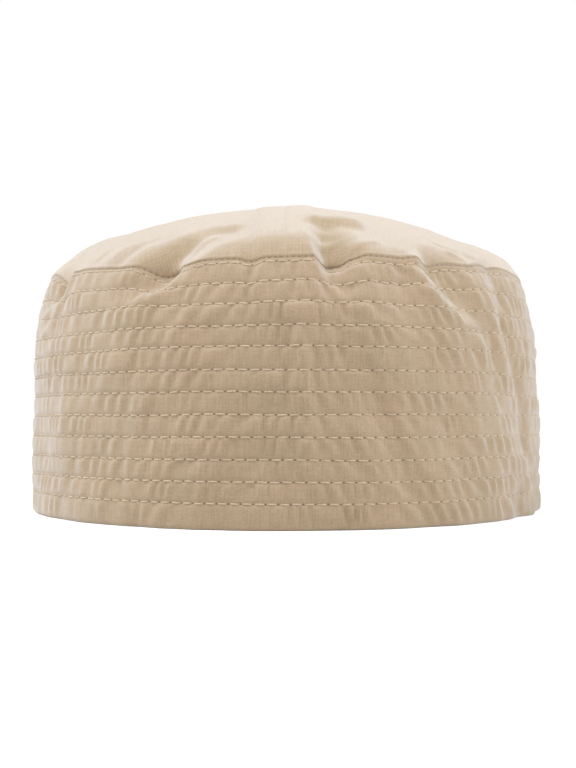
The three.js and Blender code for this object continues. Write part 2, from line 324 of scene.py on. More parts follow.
# Share of the brim's oval at a height: 1 less an even taper, less the shoulder's share to a power.
def bandReach(height):
    taper = form["taper"] * height / form["bandHeight"]
    shoulder = np.maximum(0, shoulderShare(height))
    return 1 - taper - form["shoulderTurn"] * shoulder ** form["shoulderPower"]


# The way the band looks, above level: the shoulder's tilt times its eased share.
def bandTilt(height):
    return form["shoulderTilt"] * smooth(shoulderShare(height))


# Millimetres round the cloth for one degree of azimuth.
def arcScale(reach):
    return np.pi / 180 * form["middleRadius"] * reach


# A mesh from whole arrays: faces are arrays of corners, four or three wide, and maps hold a
# coordinate pair for each corner.
def clothMesh(name, points, faces, maps, material, replaces=None):
    mesh = bpy.data.meshes.new(name)
    mesh.vertices.add(len(points))
    mesh.vertices.foreach_set("co", (points * 0.001).astype(np.float32).ravel())
    corners = np.concatenate([face.ravel() for face in faces])
    sizes = np.concatenate([np.full(len(face), face.shape[1]) for face in faces])
    mesh.loops.add(len(corners))
    mesh.loops.foreach_set("vertex_index", corners.astype(np.int32))
    mesh.polygons.add(len(sizes))
    mesh.polygons.foreach_set("loop_start", np.concatenate([[0], np.cumsum(sizes)[:-1]]).astype(np.int32))
    mesh.polygons.foreach_set("loop_total", sizes.astype(np.int32))
    mesh.polygons.foreach_set("use_smooth", np.ones(len(sizes), bool))
    for mapName, pairs in maps.items():
        layer = mesh.uv_layers.new(name=mapName)
        flat = np.concatenate([pair.reshape(-1, 2) for pair in pairs])
        layer.data.foreach_set("uv", flat.astype(np.float32).ravel())
    mesh.update(calc_edges=True)
    mesh.validate()
    mesh.materials.append(material)
    piece = bpy.data.objects.new(name, mesh)
    scene.collection.objects.link(piece)
    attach(piece, "root")
    if replaces:
        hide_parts(replaces)
    print("kufi:", name, len(points), "points,", int((sizes - 2).sum()), "triangles")
    return piece


# The four corners of every cell of a grid of columns by rows, as pairs of column and row.
def gridCells(columns, rows):
    column, row = np.meshgrid(np.arange(columns), np.arange(rows), indexing="ij")
    column, row = column.ravel(), row.ravel()
    return np.stack([column, column + 1, column + 1, column], 1), np.stack([row, row, row + 1, row + 1], 1)


# A shader node with its settings. A value that is another node's output is linked, any other is set.
def newNode(tree, kind, values=None, **settings):
    node = tree.nodes.new(kind)
    for key, value in settings.items():
        setattr(node, key, value)
    for key, value in (values or {}).items():
        if hasattr(value, "is_output"):
            tree.links.new(value, node.inputs[key])
        else:
            node.inputs[key].default_value = value
    return node


# The result of one sum on up to three values.
def math2(tree, operation, a, b=0.0, c=0.0, clamp=False):
    node = newNode(tree, "ShaderNodeMath", {0: a, 1: b, 2: c}, operation=operation, use_clamp=clamp)
    return node.outputs[0]


# Colour a with a share of colour b.
def mixColour(tree, share, a, b, blend="MIX"):
    values = {0: share, 6: a, 7: b}
    return newNode(tree, "ShaderNodeMix", values, data_type="RGBA", blend_type=blend).outputs[2]


# A vector worked on by another vector or by a scale.
def vectorMath(tree, operation, values):
    return newNode(tree, "ShaderNodeVectorMath", values, operation=operation).outputs[0]


# A node group that reads a vector and named numbers and gives numbers, and its two ends.
def newGroup(name, inputs, outputs):
    group = bpy.data.node_groups.new(name, "ShaderNodeTree")
    group.interface.new_socket(name="Vector", in_out="INPUT", socket_type="NodeSocketVector")
    for key, value in inputs.items():
        socket = group.interface.new_socket(name=key, in_out="INPUT", socket_type="NodeSocketFloat")
        socket.default_value = value
    for key in outputs:
        group.interface.new_socket(name=key, in_out="OUTPUT", socket_type="NodeSocketFloat")
    return group, group.nodes.new("NodeGroupInput"), group.nodes.new("NodeGroupOutput")


# Plain weave read from a map in metres: every thread is a rounded ridge, over on one crossing and
# under on the next. Streaks are thicker and thinner threads, long in their own direction.
def weaveGroup():
    tree, into, out = newGroup("plainWeave", {"Pitch": 0.00036}, ["Height", "Warp streak", "Weft streak"])
    wobble = newNode(tree, "ShaderNodeTexNoise", {"Vector": into.outputs[0], "Scale": 160, "Detail": 1})
    shift = vectorMath(tree, "SUBTRACT", {0: wobble.outputs["Color"], 1: (0.5, 0.5, 0.5)})
    small = vectorMath(tree, "SCALE", {0: shift, "Scale": 0.0006})
    moved = vectorMath(tree, "ADD", {0: into.outputs[0], 1: small})
    parts = newNode(tree, "ShaderNodeSeparateXYZ", {0: moved})
    across = math2(tree, "DIVIDE", parts.outputs[0], into.outputs[1])
    up = math2(tree, "DIVIDE", parts.outputs[1], into.outputs[1])
    warp = math2(tree, "ABSOLUTE", math2(tree, "SINE", math2(tree, "MULTIPLY", across, math.pi)))
    weft = math2(tree, "ABSOLUTE", math2(tree, "SINE", math2(tree, "MULTIPLY", up, math.pi)))
    sumCell = math2(tree, "ADD", math2(tree, "FLOOR", across), math2(tree, "FLOOR", up))
    over = math2(tree, "FLOORED_MODULO", sumCell, 2.0)
    under = math2(tree, "SUBTRACT", 1.0, over)
    height = math2(tree, "ADD", math2(tree, "MULTIPLY", warp, over), math2(tree, "MULTIPLY", weft, under))
    tree.links.new(height, out.inputs[0])
    for index, scale in ((1, (2600, 150, 1)), (2, (120, 2300, 1))):
        stretched = vectorMath(tree, "MULTIPLY", {0: into.outputs[0], 1: scale})
        streak = newNode(tree, "ShaderNodeTexNoise", {"Vector": stretched, "Scale": 1, "Detail": 2})
        tree.links.new(streak.outputs[0], out.inputs[index])
    return tree


# Blotches of a pinker and a greener cast, and a fine fibre mottle, read from object coordinates.
def blotchGroup():
    tree, into, out = newGroup("dyeBlotches", {"Size": 60}, ["Cast", "Mottle", "Fibre"])
    for index, scale, detail in ((0, into.outputs[1], 3), (1, 420, 3), (2, 1900, 2)):
        values = {"Vector": into.outputs[0], "Scale": scale, "Detail": detail}
        tree.links.new(newNode(tree, "ShaderNodeTexNoise", values).outputs[0], out.inputs[index])
    return tree


# 1 at a needle hole, from a map that runs 1 for each stitch across and holds the mm from the stitched
# line: 1 less the distance from the hole over its size, both ways. Line is the same for the row alone.
def holeGroup():
    tree, into, out = newGroup("needleHoles", {"Width": 0.07, "Height": 0.32}, ["Hole", "Line"])
    parts = newNode(tree, "ShaderNodeSeparateXYZ", {0: into.outputs[0]})
    offCentre = math2(tree, "SUBTRACT", math2(tree, "FRACT", parts.outputs[0]), 0.5)
    acrossShare = math2(tree, "DIVIDE", math2(tree, "ABSOLUTE", offCentre), into.outputs[1])
    near = math2(tree, "SUBTRACT", 1.0, acrossShare, clamp=True)
    awayShare = math2(tree, "DIVIDE", parts.outputs[1], into.outputs[2])
    level = math2(tree, "SUBTRACT", 1.0, awayShare, clamp=True)
    hole = math2(tree, "MULTIPLY", math2(tree, "MULTIPLY", near, level), 2.6, clamp=True)
    tree.links.new(hole, out.inputs[0])
    tree.links.new(level, out.inputs[1])
    return tree


groups = {"weave": weaveGroup(), "blotches": blotchGroup(), "holes": holeGroup()}


# One of the groups, used in a material.
def useGroup(tree, key, values):
    return newNode(tree, "ShaderNodeGroup", values, node_tree=groups[key])


# A value from 0 to 1 spread evenly about a middle: the middle plus the reach times value less a half.
def centred(tree, value, reach, middle=0.0):
    return math2(tree, "MULTIPLY_ADD", value, reach, middle - reach / 2)


# Cotton: colours, shades as the reach of each thing that varies, and bump heights beside the weave's.
bandFinish = {
    "pink": (0.497, 0.361, 0.235, 1),
    "green": (0.486, 0.362, 0.232, 1),
    "castSize": 55,
    "castRange": (0.38, 0.62),
    "warpShade": 0.38,
    "weftShade": 0.18,
    "mottleShade": 0.12,
    "fibreShade": 0.34,
    # painted shade: the cloth darker between the weave's ridges and lighter on them
    "paintedWeaveShade": 0.34,
    "paintedWeaveShadeMiddle": 0.96,
    # painted shade at each needle hole: its dark colour and how much of it
    "hole": (0.17, 0.1, 0.05, 1),
    "paintedHoleShadeShare": 0.85,
    # painted shade along each stitched row and in the seam's ditch: its brown and how much of it
    "line": (0.34, 0.22, 0.12, 1),
    "paintedRowShadeShare": 0.45,
    # painted sheen: the pale colour the cloth turns towards at low angles, and how much of it
    "paintedSheen": (0.66, 0.65, 0.64, 1),
    "paintedSheenShare": 0.75,
    "paintedSheenPower": 3.0,
    "paintedSheenMost": 0.45,
    "roughness": 0.9,
    "roughShade": 0.12,
    "sheen": 0.6,
    "sheenRoughness": 0.55,
    "sheenTint": (1, 0.97, 0.92, 1),
    "specular": 0.2,
    "streakHeight": 1.4,
    "mottleHeight": 1.6,
    "holeHeight": 3,
    "bump": 0.7,
    "bumpDistance": 0.00006,
}

# The crown is cut from the same cotton; its colours are painted paler for the extra light that falls on its
# top, and it gets more painted sheen.
crownFinish = dict(bandFinish, pink=(0.52, 0.388, 0.255, 1), green=(0.511, 0.389, 0.252, 1),
                   paintedSheen=(0.8, 0.78, 0.765, 1), paintedSheenShare=1.2, paintedSheenPower=2.0, paintedSheenMost=0.42, castSize=45,
                   sheen=0.3, weftShade=0.3)


# A new material with its node tree and its shader.
def newMaterial(name):
    material = bpy.data.materials.new(name)
    material.use_nodes = True
    return material, material.node_tree, material.node_tree.nodes["Principled BSDF"]


# What all the cotton's shaders share: colour, roughness that varies with the fibres, bump and sheen.
def finishCotton(tree, shader, finish, colour, fibre, height):
    rough = centred(tree, fibre, finish["roughShade"], finish["roughness"])
    relief = {"Strength": finish["bump"], "Distance": finish["bumpDistance"], "Height": height}
    bump = newNode(tree, "ShaderNodeBump", relief).outputs[0]
    for socket, value in (("Base Color", colour), ("Roughness", rough), ("Normal", bump)):
        tree.links.new(value, shader.inputs[socket])
    for socket, key in (("Sheen Weight", "sheen"), ("Sheen Roughness", "sheenRoughness"),
                        ("Sheen Tint", "sheenTint"), ("Specular IOR Level", "specular")):
        shader.inputs[socket].default_value = finish[key]


# Woven cotton: the dye's blotches, then each thread's own tone with painted shade between the weave's
# ridges, then painted shade along the stitched rows and at the needle holes.
def clothMaterial(name, finish, holes):
    material, tree, shader = newMaterial(name)
    own = newNode(tree, "ShaderNodeTexCoord").outputs["Object"]
    cloth = newNode(tree, "ShaderNodeUVMap", uv_map="cloth").outputs[0]
    ridges, warpStreak, weftStreak = useGroup(tree, "weave", {0: cloth}).outputs
    cast, mottle, fibre = useGroup(tree, "blotches", {0: own, 1: finish["castSize"]}).outputs
    low, high = finish["castRange"]
    castShare = newNode(tree, "ShaderNodeMapRange", {0: cast, 1: low, 2: high}).outputs[0]
    colour = mixColour(tree, castShare, finish["green"], finish["pink"])
    streaks = math2(tree, "ADD", centred(tree, warpStreak, finish["warpShade"]),
                    centred(tree, weftStreak, finish["weftShade"]))
    dye = math2(tree, "ADD", centred(tree, mottle, finish["mottleShade"]),
                centred(tree, fibre, finish["fibreShade"]))
    # Painted shade between the weave's ridges multiplies in with the streak and dye tones.
    shade = math2(tree, "ADD", math2(tree, "ADD", streaks, dye),
                  centred(tree, ridges, finish["paintedWeaveShade"], finish["paintedWeaveShadeMiddle"]))
    colour = mixColour(tree, 1.0, colour, shade, "MULTIPLY")
    height = math2(tree, "MULTIPLY_ADD", warpStreak, finish["streakHeight"], ridges)
    height = math2(tree, "MULTIPLY_ADD", mottle, finish["mottleHeight"], height)
    if holes:
        stitches = newNode(tree, "ShaderNodeUVMap", uv_map="stitches").outputs[0]
        hole, line = useGroup(tree, "holes", {0: stitches}).outputs
        # Painted shade: a darker brown near each stitched row and in the ditch.
        colour = mixColour(tree, math2(tree, "MULTIPLY", line, finish["paintedRowShadeShare"]), colour, finish["line"])
        # Painted shade: a dark colour at each needle hole.
        colour = mixColour(tree, math2(tree, "MULTIPLY", hole, finish["paintedHoleShadeShare"]), colour, finish["hole"])
        height = math2(tree, "MULTIPLY_ADD", hole, -finish["holeHeight"], height)
    # Painted sheen: the colour turns pale where the cloth is seen at a low angle, standing in for the light
    # that raised fibres catch there.
    facing = newNode(tree, "ShaderNodeLayerWeight", {"Blend": 0.5})
    paintedSheen = math2(tree, "POWER", facing.outputs["Facing"], finish["paintedSheenPower"])
    paintedSheen = math2(tree, "MINIMUM", math2(tree, "MULTIPLY", paintedSheen, finish["paintedSheenShare"]), finish["paintedSheenMost"])
    colour = mixColour(tree, paintedSheen, colour, finish["paintedSheen"])
    finishCotton(tree, shader, finish, colour, fibre, height)
    return material


threadFinish = {
    "colour": (0.72, 0.58, 0.42, 1),
    # painted shade in the groove between the plies
    "groove": (0.49, 0.385, 0.26, 1),
    "plies": 2.2,  # turns along one stitch
    "castSize": 300,
    "castShade": 0.4,
    "roughness": 0.7,
    "roughShade": 0.2,
    "sheen": 0.3,
    "sheenRoughness": 0.5,
    "sheenTint": (1, 1, 1, 1),
    "specular": 0.3,
    "bump": 0.6,
    "bumpDistance": 0.00008,
}


# Cotton thread: two plies wound round each other, with painted shade in the groove between them, read from
# the thread's own map.
def threadMaterial(name, finish):
    material, tree, shader = newMaterial(name)
    along = newNode(tree, "ShaderNodeUVMap", uv_map="cloth").outputs[0]
    parts = newNode(tree, "ShaderNodeSeparateXYZ", {0: along}).outputs
    wound = math2(tree, "MULTIPLY_ADD", parts[0], finish["plies"], parts[1])
    ply = math2(tree, "ABSOLUTE", math2(tree, "SINE", math2(tree, "MULTIPLY", wound, 2 * math.pi)))
    own = newNode(tree, "ShaderNodeTexCoord").outputs["Object"]
    cast, _, fibre = useGroup(tree, "blotches", {0: own, 1: finish["castSize"]}).outputs
    # Painted shade: darker towards the groove between the plies.
    colour = mixColour(tree, math2(tree, "SQRT", ply), finish["groove"], finish["colour"])
    colour = mixColour(tree, 1.0, colour, centred(tree, cast, finish["castShade"], 1.0), "MULTIPLY")
    finishCotton(tree, shader, finish, colour, fibre, ply)
    return material


bandCotton = clothMaterial("bandCotton", bandFinish, True)
crownCotton = clothMaterial("crownCotton", crownFinish, False)
creamThread = threadMaterial("creamThread", threadFinish)
print("kufi: materials made")


# Side band.
band = {
    "columns": 700,
    "wall": 2.0,
    "rows": [7.5, 13.7, 20.0, 26.5, 33.0, 39.5, 45.8, 52.6, 58.6, 65.3, 71.6, form["lastRow"]],
    "rowOffsets": [-1.9, -1.0, -0.42, 0, 0.42, 1.0, 1.9],
    "lastOffsets": [-1.9, -1.0, -0.42, 0, 0.42],
    "hemHeights": [1.7, 2.8, 4.2],
    "fullness": 0.1,  # how far the cloth stands out between two rows that lie usualWidth apart
    "usualWidth": 6.3,
    "fullnessPower": 1.5,
    "grooveDepth": 0.16,
    "grooveReach": 1.1,
    "bite": 0.12,
    "biteReach": 0.5,
    "biteMiddle": 0.75,
    "biteSwing": 0.25,
    "pitch": 3.6,  # of the stitches
    "hem": 0.9,
    "lip": [(78.3, 0), (78.55, 0.005), (78.75, 0.015), (78.9, 0.03), (79.0, 0.045), (79.2, 0.05),
            (79.44, 0.05), (79.6, 0.14)],
    "topEdge": [(79.9, 0.9), (80.1, 1.3), (80.1, 2.2), (78.1, 2.2)],
    "liningLow": 3.8,
    "liningPull": 0.25,  # how far a row pulls the lining in
    "brimInside": (0.15, 0.4),
    "ditchStart": 78.95,
    # the ditch's painted shade is set by how far from a stitched line the map puts it
    "ditchAway": 0.19,  # mm from a stitched line, as the map has it in the ditch
    "liningAway": 9,
    "rowHold": 0.35,  # share of a crease that a row of stitches holds flat
    "rowHoldReach": 2.2,
    "rowHoldFade": 6,
    "wobble": 0.22,  # mm up and down
    "wobbleCount": 26,
    "wobbleHeight": 11,
    "wobbleTopFade": 8,
    "wobbleHemFade": 6,
}

# Puckers and lumps: swings in mm, counts round the cap, heights in mm.
puckers = {
    "count": 104,
    "turn": 0.37,  # how far the next channel's puckers are set off
    "driftSwing": 1.1,
    "driftCount": 70,
    "unevenMiddle": 0.62,
    "unevenSwing": 0.6,
    "unevenCount": 60,
    "easeIn": 3.6,
    "easeOut": 1.1,
    "rippleSwing": 0.24,
    "rippleCount": 150,
    "rippleHeight": 9,
    "rippleLean": 0.12,
    "broadCount": 64,
    "broadHeight": 26,
    "broadLean": 0.11,
    "lumps": [(0.4, 30, 15, 14), (0.36, 66, 7, 15)],  # swing, count, height, seed
    "calm": 4,  # mm under the seam where they all fade
}

# How the puckers change round the cap: azimuth, how far they swing in mm, how far they lean per mm of
# height, and how far the broad folds that run on through the rows swing.
puckerTable = np.array([
    (-120, 0.5, 0, 0.6), (-88, 0.45, 0, 0.6), (-62, 0.65, 0, 0.6), (-40, 0.8, 0.1, 0.6),
    (-20, 0.8, 0.35, 0.6), (-8, 0.8, 0.3, 0.6), (8, 0.85, -0.3, 0.6), (18, 1.0, -0.6, 0.85),
    (30, 0.95, -0.7, 1.1), (48, 0.95, -0.5, 1.1), (62, 0.9, -0.2, 1), (88, 0.5, 0, 0.6),
])
rows = np.array(band["rows"])
seam = {
    "stitches": 306,
    "radius": 0.15,
    "length": 0.66,
    "level": 79.28,
    "inset": 0.05,
    "lift": 0.08,
    "dive": 0.3,
    "divePower": 4,
    "slip": 0.06,
    "wander": 0.07,
    "sides": 5,
    "stepsAlong": [-1, -0.7, 0, 0.7, 1],
}
rowStitches = np.round(form["around"] * bandReach(rows) / band["pitch"]).astype(int)


# The nearest row of stitches and the mm to it.
def nearestRow(height):
    away = np.abs(height[..., None] - rows)
    index = away.argmin(-1)
    return index, np.take_along_axis(away, index[..., None], -1)[..., 0]


# Small relief of the quilted cloth, inwards: a groove on each row, pinched at every needle hole,
# less an arch between the rows, and less cosine puckers that lean across each channel, ripples,
# soft lumps and broad folds.
def bandRelief(azimuth, height):
    azimuth, height = np.broadcast_arrays(azimuth, height)
    azimuth = turn(azimuth, 0)
    share = azimuth / 360 + 0.5
    swing, lean, broad = (np.interp(azimuth, puckerTable[:, 0], puckerTable[:, k]) for k in (1, 2, 3))
    index, away = nearestRow(height)
    phase = share * rowStitches[index] + rowPhase[index]
    groove = band["grooveDepth"] * (1 - smooth(away / band["grooveReach"]))
    atHole = band["biteMiddle"] + band["biteSwing"] * np.cos(2 * np.pi * (phase - 0.5))
    pinch = band["bite"] * np.exp(-(away / band["biteReach"]) ** 2) * atHole
    channel = np.searchsorted(rows, height)
    start = np.concatenate([[0], rows])[channel]
    end = np.concatenate([rows, [form["bandHeight"]]])[channel]
    width = end - start
    fromMiddle = height - (start + end) / 2
    full = band["fullness"] * (width / band["usualWidth"]) ** band["fullnessPower"]
    arch = full * (1 - (2 * fromMiddle / width) ** 2)
    p = puckers
    drift = p["driftSwing"] * noise(share * p["driftCount"], channel * 3.7, 11, p["driftCount"])
    leaning = lean * fromMiddle * p["count"] / form["around"]
    turns = share * p["count"] - leaning + drift + channel * p["turn"]
    uneven = noise(share * p["unevenCount"], channel * 5.3 + 20, 12, p["unevenCount"])
    size = swing * (p["unevenMiddle"] + p["unevenSwing"] * uneven)
    between = smooth((height - start) / p["easeIn"]) * smooth((end - height) / p["easeOut"])
    ribs = size * between * 0.5 * np.cos(2 * np.pi * turns)
    x = share * p["rippleCount"] - p["rippleLean"] * lean * height
    ripple = p["rippleSwing"] * swing * noise(x, height / p["rippleHeight"], 13, p["rippleCount"])
    lumps = 0
    for rise, count, tall, seed in p["lumps"]:
        lumps = lumps + rise * noise(share * count, height / tall, seed, count)
    x = share * p["broadCount"] - p["broadLean"] * lean * height
    folded = broad * noise(x, height / p["broadHeight"], 17, p["broadCount"])
    calm = smooth((form["bandHeight"] - height) / p["calm"])
    return groove + pinch - arch - calm * (ribs + ripple + lumps + folded)


# Large relief of the band, inwards: the waves, growing with the height, the folds, and the creases,
# less what each row of stitches holds flat.
def bandLarge(azimuth, height):
    below = form["bandHeight"] - height
    onRow = 1 - smooth(nearestRow(height)[1] / band["rowHoldReach"])
    held = 1 - band["rowHold"] * onRow * smooth(below / band["rowHoldFade"])
    return (height / form["bandHeight"] * wave(azimuth) + foldDepth(azimuth, below, 0 * below)
            + held * creaseDepth(azimuth, height, arcScale(bandReach(height))))


# A point of the band inset under its outer face. relief is 1 outside and 0 on the lining side.
def bandPoint(azimuth, height, inset, relief=1.0):
    azimuth, height, inset, relief = np.broadcast_arrays(azimuth, height, inset, relief)
    below = form["bandHeight"] - height
    sunk = inset + bandLarge(azimuth, height) + relief * bandRelief(azimuth, height)
    x = (azimuth / 360 + 0.5) * band["wobbleCount"]
    wobble = band["wobble"] * noise(x, height / band["wobbleHeight"], 16, band["wobbleCount"])
    wobble = wobble * smooth(below / band["wobbleTopFade"]) * smooth(height / band["wobbleHemFade"])
    lowered = height - seamDrop(azimuth, below, 0 * below) - seamLower(azimuth, height) + wobble
    return place(azimuth, bandReach(height), lowered, bandTilt(height), sunk)


random = np.random.default_rng(7)
rowPhase = random.uniform(0, 1, len(rows))

# One section of the wall, from the brim up the outside, over the top edge and down the lining, as rows
# of height, inset and relief.
rowMiddles = (rows[:-1] + rows[1:]) / 2
quarter = [(1 - math.sin(angle), 1 - math.cos(angle)) for angle in np.radians([90, 60, 30, 0])]
hem = [(band["hem"] * rise, band["hem"] * inward) for rise, inward in quarter]
outerHeights = list(band["hemHeights"])
for row, between in zip(rows, rowMiddles):
    outerHeights += [row + offset for offset in band["rowOffsets"]] + [between]
outerHeights += [rows[-1] + offset for offset in band["lastOffsets"]]
innerHeights = np.sort(np.concatenate([rows, rowMiddles, [band["liningLow"]]]))[::-1]
low, rounding = band["brimInside"]
outside = hem + [(height, 0) for height in outerHeights] + band["lip"]
lining = [(height, band["wall"] - band["liningPull"] * (height in rows)) for height in innerHeights]
lining = band["topEdge"] + lining + [(band["hem"], band["wall"]), (low, band["wall"] - rounding)]
section = np.array([(*pair, 1.0) for pair in outside] + [(*pair, 0.0) for pair in lining])

azimuths = np.linspace(-180, 180, band["columns"] + 1)
points = bandPoint(azimuths[:-1, None], *section.T[:, None])
stations = len(section)
column, row = gridCells(band["columns"], stations)
station = row % stations
quads = (column % band["columns"]) * stations + station
clothMap = np.stack([azimuths[column] / 360 * form["around"], section[station, 0]], -1) * 0.001
onOutside = section[:, 2] > 0
inDitch = onOutside & (section[:, 0] > band["ditchStart"])
rowIndex, rowAway = nearestRow(section[:, 0])
rowAway = np.where(inDitch, band["ditchAway"], np.where(onOutside, rowAway, band["liningAway"]))
stitchCount = np.where(inDitch, seam["stitches"], rowStitches[rowIndex])
stitchAcross = (azimuths[column] / 360 + 0.5) * stitchCount[station] + rowPhase[rowIndex[station]]
stitchMap = np.stack([stitchAcross, rowAway[station]], -1)
clothMesh("bandCloth", points.reshape(-1, 3), [quads], {"cloth": [clothMap], "stitches": [stitchMap]},
          bandCotton, "side_band")


# Stitches of the rows.
thread = {
    "radius": 0.25,
    "length": 0.88,  # of the pitch that shows
    "lift": 0.14,
    "dive": 0.5,
    "sides": 6,
    "stepsAlong": [-1, -0.82, -0.42, 0.42, 0.82, 1],
    "divePower": 6,
    "endThinner": 0.35,
    "lengths": (0.93, 1.05),
    "slip": 0.03,
    "wander": 0.06,
    "jitter": 0.1,
    "inside": {"steps": [0, 1, 4, 5], "share": 0.8, "sides": 4, "lift": -0.1, "dive": -0.5},
}


# Short threads: a ring of sides carried along each thread's middle line, closed by a point at each
# end. middle, out and up are arrays of threads by steps by 3, radius an array of steps.
def threads(name, middle, out, up, radius, sides):
    count, steps = middle.shape[:2]
    angle = np.arange(sides) * 2 * np.pi / sides
    ring = (middle[:, 1:-1, None] + radius[None, 1:-1, None, None]
            * (out[:, 1:-1, None] * np.cos(angle)[:, None] + up[:, 1:-1, None] * np.sin(angle)[:, None]))
    rings = steps - 2
    each = rings * sides + 2
    points = np.concatenate([ring.reshape(count, -1, 3), middle[:, :1], middle[:, -1:]], 1)
    across, along = gridCells(sides, rings - 1)
    quad = along * sides + across % sides
    side = np.arange(sides)
    following = (side + 1) % sides
    lastRing = (rings - 1) * sides
    first = np.stack([np.full(sides, each - 2), following, side], 1)
    last = np.stack([np.full(sides, each - 1), lastRing + side, lastRing + following], 1)
    start = (np.arange(count) * each)[:, None, None]
    quads = (start + quad[None]).reshape(-1, 4)
    triangles = (start + np.concatenate([first, last])[None]).reshape(-1, 3)
    reach = np.linspace(0, 1, rings)
    quadMap = np.tile(np.stack([reach[along], across / sides], -1), (count, 1, 1))
    firstMap = np.stack([np.zeros((sides, 3)), np.stack([side, side + 1, side], 1) / sides], -1)
    lastMap = np.stack([np.ones((sides, 3)), np.stack([side, side, side + 1], 1) / sides], -1)
    triangleMap = np.tile(np.concatenate([firstMap, lastMap]), (count, 1, 1))
    return clothMesh(name, points.reshape(-1, 3), [quads, triangles], {"cloth": [quadMap, triangleMap]},
                     creamThread)


# The way a face looks and the way up along it, for an azimuth and a tilt.
def faceAxes(azimuth, tilt):
    angle, lean = np.broadcast_arrays(np.radians(azimuth), np.radians(tilt))
    x, y = np.sin(angle), -np.cos(angle)
    out = np.stack([x * np.cos(lean), y * np.cos(lean), np.sin(lean)], -1)
    up = np.stack([-x * np.sin(lean), -y * np.sin(lean), np.cos(lean)], -1)
    return out, up


along = np.array(thread["stepsAlong"])
rowOf = np.repeat(np.arange(len(rows)), rowStitches)
number = np.arange(len(rowOf)) - np.repeat(np.cumsum(rowStitches) - rowStitches, rowStitches)
half = thread["length"] / 2 * random.uniform(*thread["lengths"], len(rowOf))
centre = number - rowPhase[rowOf] + random.uniform(-thread["slip"], thread["slip"], len(rowOf))
azimuth = ((centre[:, None] + half[:, None] * along) / rowStitches[rowOf][:, None] - 0.5) * 360
skew = random.uniform(-thread["jitter"], thread["jitter"], len(rowOf))
wander = random.uniform(-thread["wander"], thread["wander"], len(rowOf))
height = (rows[rowOf] + wander)[:, None] + skew[:, None] * along
out, up = faceAxes(azimuth, bandTilt(height))
lifted = thread["lift"] - (thread["lift"] + thread["dive"]) * np.abs(along) ** thread["divePower"]
middle = bandPoint(azimuth, height, 0) + out * lifted[None, :, None]
thickness = thread["radius"] * (1 - thread["endThinner"] * np.abs(along) ** 3)
threads("topstitching", middle, out, up, thickness, thread["sides"])

# The same rows on the lining side, thinner and pulled flat.
inside = thread["inside"]
steps = inside["steps"]
lifted = inside["lift"] - inside["dive"] * np.abs(along) ** thread["divePower"]
middle = bandPoint(azimuth, height, band["wall"], 0.0) + out * lifted[None, :, None]
threads("insideStitching", middle[:, steps], -out[:, steps], up[:, steps],
        thickness[steps] * inside["share"], inside["sides"])


# Crown.
crown = {
    "wall": 1.3,
    "columns": 290,
    "ringStep": 0.9,
    "edgeRings": [0, 0.06, 0.22, 0.45, 0.75, 1.1, 1.55, 2.1, 2.8],
    "firstRing": 3.6,
    "topGap": 0.4,
    "edgeColumns": [0.12, 0.3, 0.5, 0.8, 1.2],  # degrees from the middle seam
    "firstColumn": 1.7,
    "roll": 0.04,
    "welt": 0.1,
    "weltStart": 0.3,
    "weltEnd": 1.2,
    "weltEase": 0.5,
    "ditch": 0.14,
    "ditchReach": 0.8,
    "allowanceWidth": 6.5,
    "allowanceLift": 0.7,
    "allowanceEase": 5,
    "wrinkles": [(0.5, 26, 20, 21), (0.26, 12, 10, 22)],  # swing, mm across, mm along, seed
    "fineWrinkles": (0.1, 4.4, 7.5, 23),
    "calmSlow": 9,
    "calmFine": 3,
}

# Length of cloth from the seam up to each share of the way to the top, along the front.
shareTable = np.linspace(0, 1, 2001)
sweepTable = shareTable * np.pi / 2
edgeReach = bandReach(np.array(form["bandHeight"]))
meridian = np.stack([form["middleRadius"] * edgeReach * np.cos(sweepTable),
                     form["crownRise"] * np.sin(sweepTable) ** (2 * form["crownFullness"])], 1)
lengthTable = np.concatenate([[0], np.cumsum(np.hypot(*np.diff(meridian, axis=0).T))])
crownLength = lengthTable[-1]


# The lift of the middle seam's allowances, pressed open under the cloth.
def allowance(across):
    near = (crown["allowanceWidth"] + crown["allowanceEase"] - np.abs(across)) / crown["allowanceEase"]
    return crown["allowanceLift"] * smooth(near)


# The crown's cloth laid flat: the mm to its top, turned by the azimuth.
def flatCrown(azimuth, length):
    left = crownLength - length
    return left * np.sin(np.radians(azimuth)), left * np.cos(np.radians(azimuth))


# Small relief of the slack crown, inwards: soft wrinkles of three sizes, and the middle seam's ditch.
# The noise is read 31 cells in, so that no cell number is below 0.
def crownRelief(azimuth, length, across):
    x, y = flatCrown(azimuth, length)
    slow = 0
    for swing, wide, high, seed in crown["wrinkles"]:
        slow = slow + swing * noise(x / wide + 31, y / high + 31, seed)
    swing, wide, high, seed = crown["fineWrinkles"]
    fine = swing * noise((x + y) / wide + 31, (x - y) / high + 31, seed)
    ditch = crown["ditch"] * np.exp(-(across / crown["ditchReach"]) ** 2)
    return ditch - smooth(length / crown["calmSlow"]) * slow - smooth(length / crown["calmFine"]) * fine


